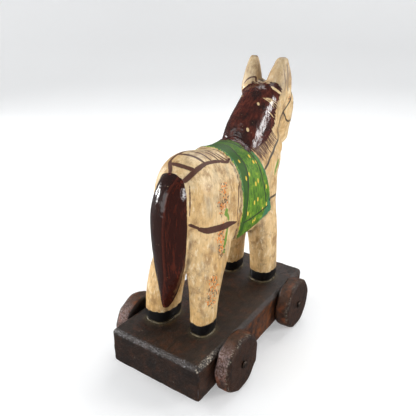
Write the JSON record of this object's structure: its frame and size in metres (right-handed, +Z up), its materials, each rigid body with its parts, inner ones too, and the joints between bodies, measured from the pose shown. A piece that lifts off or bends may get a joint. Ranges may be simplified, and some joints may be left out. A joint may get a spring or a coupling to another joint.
{
  "type": "wooden horse on wheels",
  "caption": "Carved and painted wooden toy horse with upright ears, a hanging tail and a raised saddle cloth, glued on a plank that rolls on nailed wooden wheels.",
  "frame": {"origin": "on the ground under the middle of the whole toy, from the muzzle to the plank's rear end", "axes": "+Z up, -Y the way the horse looks, +X the horse's left side"},
  "size_m": [0.0836, 0.1457, 0.1715],
  "materials": {
    "painted_wood": "hand-painted cream, brown and green under aged gloss varnish",
    "dark_wood": "dark brown stain, worn, semi-gloss",
    "nail_steel": "dull, slightly rusted"
  },
  "bodies": {
    "horse_and_plank": {"horse": "painted_wood", "plank": "dark_wood", "nail_front_left": "nail_steel", "nail_front_right": "nail_steel", "nail_rear_left": "nail_steel", "nail_rear_right": "nail_steel"},
    "front_left_wheel": {"wheel_front_left": "dark_wood"},
    "front_right_wheel": {"wheel_front_right": "dark_wood"},
    "rear_left_wheel": {"wheel_rear_left": "dark_wood"},
    "rear_right_wheel": {"wheel_rear_right": "dark_wood"}
  },
  "joints": [
    {"name": "front_left_spin", "type": "hinge", "parent": "horse_and_plank", "child": "front_left_wheel", "pos_m": [0.0305, -0.0273, 0.01595], "axis": [1, 0, 0], "continuous": true},
    {"name": "front_right_spin", "type": "hinge", "parent": "horse_and_plank", "child": "front_right_wheel", "pos_m": [-0.0305, -0.0273, 0.01595], "axis": [1, 0, 0], "continuous": true},
    {"name": "rear_left_spin", "type": "hinge", "parent": "horse_and_plank", "child": "rear_left_wheel", "pos_m": [0.0305, 0.0441, 0.01595], "axis": [1, 0, 0], "continuous": true},
    {"name": "rear_right_spin", "type": "hinge", "parent": "horse_and_plank", "child": "rear_right_wheel", "pos_m": [-0.0305, 0.0441, 0.01595], "axis": [1, 0, 0], "continuous": true}
  ]
}
